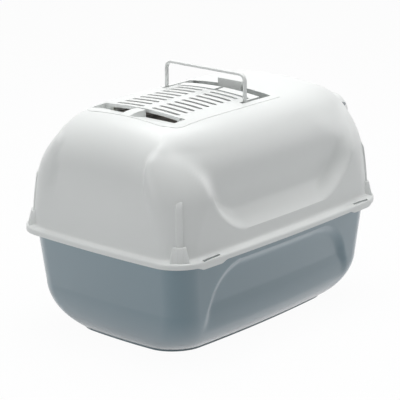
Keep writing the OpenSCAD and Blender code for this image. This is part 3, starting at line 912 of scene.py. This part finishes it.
def make_deck():
    deck = crowned_block("roof_deck", (-DECK_HALF, DECK_FAR, DECK_FLOOR),
                         (DECK_HALF, DECK_NEAR, ROOF_Z), 0)
    cut(deck, deck_column("deck_plan", 0, 300 * MM, 450 * MM), "INTERSECT")
    reach = COVER_HALF + COVER_GAP
    cut(deck, above_crown("seat_cutter", (-reach, COVER_AXIS_Y - COVER_SWING, BLANK_LOW),
                          (reach, COVER_FRONT + COVER_GAP, DECK_CUT_TOP), COVER_T + COVER_GAP))
    cutters = [
        block("hinge_groove", (-reach, COVER_AXIS_Y - COVER_SWING, COVER_AXIS_Z - HINGE_ROOM),
              (reach, COVER_AXIS_Y + HINGE_ROOM, DECK_CUT_TOP)),
        block("pocket", (-PAD_HALF - 1 * MM, PAD_BACK - 1 * MM, DECK_FLOOR + WALL),
              (PAD_HALF + 1 * MM, PAD_FRONT + 2 * MM, DECK_CUT_TOP)),
    ]
    cutters += make_handle_trough() + make_ramp_cutters(1) + make_ramp_cutters(-1)
    for cutter in cutters:
        cut(deck, cutter)
    soften_edges(deck, 0.8 * MM, 2, 25)
    return deck


roof_deck = make_deck()
shade(roof_deck, 30)
cut(hood_shell, deck_column("deck_hole", DECK_LAP, 350 * MM, 420 * MM), solver=SHELL_SOLVER)
shade(hood_shell, 35)
finish_piece(hood_shell, "hood", white_plastic, ["hood"])
finish_piece(roof_deck, "hood", white_plastic)

# %% [markdown]
# ## The filter cover
# A thin crowned lid with two columns of slots and a turned-down front edge. A set of rounded cutters
# makes all the slots in one go.

# %% Filter cover
SLOT_COUNT = 9
SLOT_PITCH = 18.5 * MM
SLOT_LEN = 59 * MM
SLOT_W = 7 * MM
SLOT_ROUND = 3 * MM
FIRST_SLOT = 12 * MM
SPINE_HALF = 9 * MM
SKIRT_T = 2.5 * MM
SKIRT_DROP = 0.6 * MM
SKIRT_H = 5.4 * MM
EAR_HALF = 3.4 * MM
EAR_T = 4 * MM


def make_slot_cutter(side, row):
    y = COVER_FRONT - FIRST_SLOT - row * SLOT_PITCH
    x0, x1 = sorted((side * SPINE_HALF, side * (SPINE_HALF + SLOT_LEN)))
    cutter = block("slot", (x0, y - SLOT_W / 2, BLANK_LOW - 10 * MM),
                   (x1, y + SLOT_W / 2, BLANK_HIGH + 20 * MM))
    soften_edges(cutter, SLOT_ROUND, 5, 60)
    return cutter


def make_cover():
    cover = crowned_block("cover_plate", (-COVER_HALF, COVER_BACK, BLANK_LOW),
                          (COVER_HALF, COVER_FRONT, BLANK_HIGH), 0, COVER_T)
    cutters = [make_slot_cutter(side, row) for side in (-1, 1) for row in range(SLOT_COUNT)]
    cut(cover, join(cutters))
    skirt = crowned_block("cover_skirt", (-COVER_HALF, COVER_FRONT - SKIRT_T, BLANK_LOW),
                          (COVER_HALF, COVER_FRONT, BLANK_HIGH), SKIRT_DROP, SKIRT_H)
    cut(cover, skirt, "UNION")
    soften_edges(cover, 0.7 * MM, 2, 40)
    parts = [cover]
    for side in (-1, 1):
        x0, x1 = sorted((side * (COVER_HALF - EAR_T), side * COVER_HALF))
        ear = block("cover_ear", (x0, COVER_AXIS_Y - EAR_HALF, COVER_AXIS_Z - 3 * MM),
                    (x1, COVER_AXIS_Y + EAR_HALF, crown_z(COVER_HALF) - 1 * MM))
        soften_edges(ear, 0.6 * MM, 2)
        pin = rod("cover_pin", 2.2 * MM, (side * (COVER_HALF - 1 * MM), COVER_AXIS_Y, COVER_AXIS_Z),
                  (side * (COVER_HALF + 3.5 * MM), COVER_AXIS_Y, COVER_AXIS_Z), 32)
        parts += [ear, pin]
    return join(parts)


slotted_cover = make_cover()
slotted_cover.name = "slotted_cover"
shade(slotted_cover, 30)
finish_piece(slotted_cover, "filter_cover", white_plastic, ["filter_cover"])

# %% [markdown]
# ## The handle
# A thin strap bent into a wide bail. It is one block with its two upper edges rounded, hollowed by a
# smaller block rounded the same way.

# %% Handle
HANDLE_CORNER = 14 * MM
STRAP_SEEN = 6.5 * MM


def round_top_edges(piece, radius):
    """Rounds the two upper edges of a block that run along Y."""
    top = max(vertex.co.z for vertex in piece.data.vertices)
    for edge in piece.data.edges:
        ends = [piece.data.vertices[i].co for i in edge.vertices]
        edge.select = all(end.z > top - 1 * MM for end in ends) and abs(ends[0].x - ends[1].x) < 1 * MM
    select_edges_only(piece)
    bpy.ops.mesh.bevel(offset=radius, segments=ROUND_STEPS, affect="EDGES")
    bpy.ops.object.mode_set(mode="OBJECT")


def make_handle():
    top = HANDLE_Z + HANDLE_H
    strap = block("carrying_handle", (-HANDLE_HALF, HANDLE_Y - STRAP_SEEN / 2, HANDLE_Z),
                  (HANDLE_HALF, HANDLE_Y + STRAP_SEEN / 2, top))
    round_top_edges(strap, HANDLE_CORNER)
    inside = block("handle_inside", (-HANDLE_HALF + STRAP_T, HANDLE_Y - STRAP_W, HANDLE_Z - STRAP_W),
                   (HANDLE_HALF - STRAP_T, HANDLE_Y + STRAP_W, top - STRAP_T))
    round_top_edges(inside, HANDLE_CORNER - STRAP_T)
    cut(strap, inside)
    soften_edges(strap, 1.1 * MM, 3, 50)
    parts = [strap]
    for side in (-1, 1):
        x0 = side * (HANDLE_HALF - STRAP_T)
        boss = rod("handle_boss", STRAP_W / 2, (x0, HANDLE_Y, HANDLE_Z),
                   (side * HANDLE_HALF, HANDLE_Y, HANDLE_Z))
        pin = rod("handle_pin", 3 * MM, (side * (HANDLE_HALF - 1 * MM), HANDLE_Y, HANDLE_Z),
                  (side * (HANDLE_HALF + 6 * MM), HANDLE_Y, HANDLE_Z), 32)
        for part in (boss, pin):
            soften_edges(part, 0.5 * MM, 2)
        parts += [boss, pin]
    return join(parts)


carrying_handle = make_handle()
carrying_handle.name = "carrying_handle"
shade(carrying_handle)
print("Handle box:", [round(v, 4) for v in carrying_handle.dimensions])
finish_piece(carrying_handle, "handle", white_plastic, ["handle"])

# %% [markdown]
# ## The filter pad
# A black fibre mat loaded with carbon. Its faces are rough and its edge is ragged, so a subdivided
# block is roughened, and the material speckles it with brown fibre.

# %% Filter material
def make_filter_material():
    material = bpy.data.materials.new("carbon_fibre_mat")
    material.use_nodes = True
    nodes, links = material.node_tree.nodes, material.node_tree.links
    surface = nodes["Principled BSDF"]
    place = nodes.new("ShaderNodeTexCoord")
    fibres = nodes.new("ShaderNodeTexNoise")
    fibres.inputs["Scale"].default_value = 420
    fibres.inputs["Detail"].default_value = 5
    ramp = nodes.new("ShaderNodeValToRGB")
    ramp.color_ramp.elements[0].position = 0.42
    ramp.color_ramp.elements[0].color = (0.012, 0.011, 0.010, 1)
    ramp.color_ramp.elements[1].position = 0.72
    ramp.color_ramp.elements[1].color = (0.13, 0.10, 0.07, 1)
    bump = nodes.new("ShaderNodeBump")
    bump.inputs["Distance"].default_value = 0.001
    bump.inputs["Strength"].default_value = 0.8
    links.new(place.outputs["Object"], fibres.inputs["Vector"])
    links.new(fibres.outputs["Fac"], ramp.inputs["Fac"])
    links.new(ramp.outputs["Color"], surface.inputs["Base Color"])
    links.new(fibres.outputs["Fac"], bump.inputs["Height"])
    links.new(bump.outputs["Normal"], surface.inputs["Normal"])
    surface.inputs["Roughness"].default_value = 0.95
    surface.inputs["Sheen Weight"].default_value = 0.3
    return material


filter_material = make_filter_material()
print("Filter material:", filter_material.name)

# %% Filter pad and its tab
PAD_CUTS = 30
PAD_WAVE = 0.3 * MM


def make_filter_pad():
    pad = block("filter_mat", (-PAD_HALF, PAD_BACK, DECK_FLOOR + WALL + 0.1 * MM),
                (PAD_HALF, PAD_FRONT, PAD_TOP))
    choose(pad)
    bpy.ops.object.mode_set(mode="EDIT")
    bpy.ops.mesh.select_all(action="SELECT")
    bpy.ops.mesh.subdivide(number_cuts=PAD_CUTS)
    bpy.ops.object.mode_set(mode="OBJECT")
    for vertex in pad.data.vertices:
        x, y = vertex.co.x, vertex.co.y
        wave = math.sin(x * 310 + 2 * math.sin(y * 190)) * math.sin(y * 270 + math.sin(x * 230))
        if vertex.co.z > PAD_TOP - 0.5 * MM:
            vertex.co.z = PAD_TOP - 0.35 * MM + PAD_WAVE * wave
    soften_edges(pad, 1.5 * MM, 3, 50)
    return pad


filter_mat = make_filter_pad()
shade(filter_mat, 60)
finish_piece(filter_mat, "hood", filter_material, ["filter_pad"])

pull_tab = block("pull_tab", (PAD_HALF - 10 * MM, PAD_FRONT - 9 * MM, PAD_TOP - 0.2 * MM),
                 (PAD_HALF - 1 * MM, PAD_FRONT, PAD_TOP + 1 * MM))
soften_edges(pull_tab, 0.4 * MM, 2)
shade(pull_tab)
finish_piece(pull_tab, "hood", tab_plastic, ["filter_tab"])

# %% [markdown]
# ## The door and its frame
# The way in is at the end that the photo doesn't show, so this follows the usual build: a raised frame
# in the end wall and a smoke-grey flap that hangs on two moulded pins.

# %% Door frame and flap
DOOR_Y = -(HOOD_END - 7 * MM)
DOOR_AXIS_Z = DOOR_TOP - 9 * MM
FRAME_FRONT = -(HOOD_END + 3 * MM)
FRAME_BACK = -(HOOD_END - 37 * MM)
FRAME_T = 6 * MM
FRAME_HIGH_R = 34 * MM
FLAP_T = 5.2 * MM
FLAP_WEB = 2.8 * MM
FLAP_CUT = 6 * MM
FLAP_BORDER = 8 * MM


def make_door_frame():
    ring = rounded_panel("door_frame", DOOR_W / 2 + FRAME_T, DOOR_Z - FRAME_T, DOOR_TOP + FRAME_T,
                         DOOR_LOW_R + FRAME_T, FRAME_HIGH_R, FRAME_FRONT, FRAME_BACK)
    cut(ring, rounded_panel("door_hole", DOOR_W / 2, DOOR_Z, DOOR_TOP, DOOR_LOW_R, DOOR_HIGH_R,
                            FRAME_FRONT - 5 * MM, FRAME_BACK + 5 * MM))
    soften_edges(ring, 1.2 * MM, 3, 50)
    return ring


door_frame = make_door_frame()
shade(door_frame)
finish_piece(door_frame, "hood", white_plastic)


def make_flap():
    """A plate with a thin web inside a thicker border, and a pin at each side."""
    half = DOOR_W / 2 - DOOR_PLAY
    low, high = DOOR_Z + DOOR_PLAY, DOOR_TOP - DOOR_PLAY
    low_r = DOOR_LOW_R - DOOR_PLAY
    flap = rounded_panel("swing_flap", half, low, high, low_r, DOOR_HIGH_R - DOOR_PLAY,
                         DOOR_Y - FLAP_T / 2, DOOR_Y + FLAP_T / 2)
    for y0, y1 in ((DOOR_Y - FLAP_CUT, DOOR_Y - FLAP_WEB / 2), (DOOR_Y + FLAP_WEB / 2, DOOR_Y + FLAP_CUT)):
        cut(flap, rounded_panel("flap_hollow", half - FLAP_BORDER, low + FLAP_BORDER,
                                high - 2 * FLAP_BORDER, low_r - FLAP_BORDER, FLAP_BORDER, y0, y1))
    soften_edges(flap, 0.8 * MM, 2, 50)
    parts = [flap]
    for side in (-1, 1):
        pin = rod("flap_pin", 3 * MM, (side * (half - 16 * MM), DOOR_Y, DOOR_AXIS_Z),
                  (side * (DOOR_W / 2 + 4.5 * MM), DOOR_Y, DOOR_AXIS_Z), 32)
        soften_edges(pin, 0.4 * MM, 2)
        parts.append(pin)
    return join(parts)


swing_flap = make_flap()
swing_flap.name = "swing_flap"
shade(swing_flap)
finish_piece(swing_flap, "door", smoke_plastic, ["door"])

# %% [markdown]
# ## The pan
# The pan is the second big moulding. Its ends lean in more than its sides, a big curve carries them
# to a low foot, and an arched recess stiffens each long side. Its rim hides under the hood's lip.

# %% Pan sizes and curves
SEAT_Z = LIP_Z + LIP_H - 1 * MM
PAN_RIM_Z = SEAT_Z - 0.4 * MM
RIM_EDGE = WALL + 0.8 * MM
PAN_SIDE = 17 * MM
PAN_END = 16 * MM
PAN_TAPER_SIDE = 5 * MM
PAN_TAPER_END = 14 * MM
CURVE_W = 42 * MM
CURVE_H = 80 * MM
FOOT_H = 5 * MM
FOOT_IN = 3 * MM
PAN_CORNER = RIM_R - 12 * MM
PAN_CORNER_GROWTH = 12 * MM
END_CURVE = 0.8
ARCH_Z = 157 * MM
ARCH_HALF = 186 * MM
ARCH_CORNER = 84 * MM
ARCH_DEPTH = 10 * MM
ARCH_LEDGE = 15 * MM
ARCH_SPREAD = 0.3
ARCH_SPREAD_Z = 94 * MM
ARCH_FADE_Z = 45 * MM
ARCH_FADE = 45 * MM
ROLL = math.radians(60)


def arch_share(y, z):
    """How much of the arched recess's depth a place takes; its legs spread and fade out low down."""
    spread = ARCH_SPREAD * max(0, ARCH_SPREAD_Z - z)
    depth = inside_corner(ARCH_HALF + spread - abs(y), ARCH_Z - z, ARCH_CORNER)
    return math.sin(math.pi / 2 * clamp(depth / ARCH_LEDGE)) * clamp((z - ARCH_FADE_Z) / ARCH_FADE)


def pan_sink(z):
    return clamp((CURVE_H - z) / (CURVE_H - FOOT_H))


def pan_curve(z):
    """How far the wall has curled in at a height; it meets the foot at a slope, not level."""
    angle = math.asin(pan_sink(z) * math.sin(ROLL))
    return CURVE_W * (1 - math.cos(angle)) / (1 - math.cos(ROLL))


print("The pan's wall curls in", round(pan_curve(FOOT_H), 4), "down to its foot")

# %% Pan levels
PAN_WALL_STEPS = 30
PAN_CURVE_STEPS = 20


def pan_level(z, inset=0):
    down = clamp((PAN_RIM_Z - z) / (PAN_RIM_Z - CURVE_H))
    curve = pan_curve(z)
    w = HALF_W - PAN_SIDE - PAN_TAPER_SIDE * down - curve - inset
    l = HALF_L - PAN_END - PAN_TAPER_END * down - END_CURVE * curve - inset
    level = []
    for x, y in outline(w, l, PAN_CORNER + PAN_CORNER_GROWTH * pan_sink(z)):
        x, y = bow(x, y, w, l)
        side = w - BOW_SIDE * (y / l) ** 2 - ARCH_DEPTH * arch_share(y, z)
        level.append((math.copysign(min(abs(x), side), x), y, z))
    return level


def rim_level(inset_w, inset_l, z):
    w, l = HALF_W - inset_w, HALF_L - inset_l
    return [(*bow(x, y, w, l), z) for x, y in outline(w, l, RIM_R - CORNER_STEP)]


def pan_levels():
    """From the rim's edge inwards, down the wall, round the curve and under the foot to the middle."""
    under = PAN_RIM_Z - WALL
    levels = [rim_level(RIM_EDGE, RIM_EDGE, under + 0.4 * MM), rim_level(RIM_EDGE, RIM_EDGE, under),
              rim_level((PAN_SIDE + RIM_EDGE) / 2, (PAN_END + RIM_EDGE) / 2, under),
              rim_level(PAN_SIDE - 1.5 * MM, PAN_END - 1.5 * MM, under)]
    levels += [pan_level(under - 1.5 * MM + (CURVE_H - under) * i / PAN_WALL_STEPS)
               for i in range(PAN_WALL_STEPS)]
    for i in range(PAN_CURVE_STEPS + 1):
        sink = math.sin(ROLL * i / PAN_CURVE_STEPS) / math.sin(ROLL)
        levels.append(pan_level(CURVE_H - (CURVE_H - FOOT_H) * sink))
    levels += [pan_level(FOOT_H, 2 * MM), pan_level(FOOT_H - 0.3 * MM, FOOT_IN),
               pan_level(0.8 * MM, FOOT_IN), pan_level(0, FOOT_IN + 0.8 * MM),
               pan_level(0, FOOT_IN + 8 * MM)]
    inner = pan_level(0, FOOT_IN + 8 * MM)
    levels += [[(x * s, y * s, z) for x, y, z in inner] for s in (0.85, 0.6, 0.3, 0.0)]
    return levels


pan_shell = wrap_sheet("pan_shell", pan_levels(), False)
apply_modifier(pan_shell, "SOLIDIFY", thickness=WALL, offset=-1)
shade(pan_shell, 35)
finish_piece(pan_shell, "pan", pan_plastic, ["tray"])

# %% [markdown]
# ## Floor and light
# The photo is a plain studio shot on white. A broad lamp overhead makes the roof nearly white, and two
# weak ones fill the sides. The background is white where the camera or a reflection sees it, and adds
# little light otherwise. The floor is made nearly white too, but keeps some of the shadow.

# %% Floor
FLOOR_COLOUR = (0.8, 0.81, 0.82)
FLOOR_GLOW = 0.96


def make_floor():
    deselect()
    bpy.ops.mesh.primitive_plane_add(size=12, location=(0, 0, 0))
    floor = bpy.context.object
    floor.name = "floor"
    material = bpy.data.materials.new("white_floor")
    material.use_nodes = True
    nodes, links = material.node_tree.nodes, material.node_tree.links
    surface = nodes["Principled BSDF"]
    surface.inputs["Base Color"].default_value = (*FLOOR_COLOUR, 1)
    surface.inputs["Roughness"].default_value = 0.9
    path = nodes.new("ShaderNodeLightPath")
    glow = nodes.new("ShaderNodeEmission")
    glow.inputs["Color"].default_value = (1, 1, 1, 1)
    mix = nodes.new("ShaderNodeMixShader")
    share = nodes.new("ShaderNodeMath")
    share.operation = "MULTIPLY"
    share.inputs[1].default_value = FLOOR_GLOW
    bright = nodes.new("ShaderNodeMath")
    bright.operation = "MAXIMUM"
    links.new(path.outputs["Is Camera Ray"], share.inputs[0])
    links.new(share.outputs[0], bright.inputs[0])
    links.new(path.outputs["Is Glossy Ray"], bright.inputs[1])
    links.new(bright.outputs[0], mix.inputs["Fac"])
    links.new(surface.outputs["BSDF"], mix.inputs[1])
    links.new(glow.outputs["Emission"], mix.inputs[2])
    links.new(mix.outputs["Shader"], nodes["Material Output"].inputs["Surface"])
    floor.data.materials.append(material)
    return floor


floor = make_floor()
print("Floor:", [round(v, 1) for v in floor.dimensions])

# %% World and lamps
FILL = 0.15


def make_world():
    world = bpy.data.worlds.new("studio")
    bpy.context.scene.world = world
    world.use_nodes = True
    nodes, links = world.node_tree.nodes, world.node_tree.links
    backdrop = nodes["Background"]
    path = nodes.new("ShaderNodeLightPath")
    seen = nodes.new("ShaderNodeMath")
    seen.operation = "MAXIMUM"
    strength = nodes.new("ShaderNodeMapRange")
    strength.inputs["To Min"].default_value = FILL
    strength.inputs["To Max"].default_value = 1.0
    links.new(path.outputs["Is Camera Ray"], seen.inputs[0])
    links.new(path.outputs["Is Glossy Ray"], seen.inputs[1])
    links.new(seen.outputs[0], strength.inputs["Value"])
    links.new(strength.outputs[0], backdrop.inputs["Strength"])
    backdrop.inputs["Color"].default_value = (1, 1, 1, 1)


def make_lamp(name, place, aim, size, power):
    data = bpy.data.lights.new(name, "AREA")
    data.shape = "RECTANGLE"
    data.size, data.size_y = size
    data.energy = power
    lamp = bpy.data.objects.new(name, data)
    bpy.context.collection.objects.link(lamp)
    lamp.location = place
    lamp.rotation_euler = (Vector(aim) - Vector(place)).to_track_quat("-Z", "Y").to_euler()
    return lamp


make_world()
overhead = make_lamp("overhead_softbox", (0.1, -0.1, 2.4), (0, 0, 0.2), (2.2, 2.2), 58)
make_lamp("left_softbox", (0.3, 2.4, 0.8), (0, 0.1, 0.15), (1.4, 1.2), 7)
make_lamp("right_softbox", (-1.3, -1.9, 0.7), (0, 0, 0.15), (1.4, 1.2), 6)
bpy.context.scene.view_settings.view_transform = "Standard"
print("Lamp power:", overhead.data.energy)

# %% [markdown]
# The template is no longer needed. The dressed part must fill the same box as the CAD model.

# %% Remove the template
bpy.data.objects.remove(roof_template)
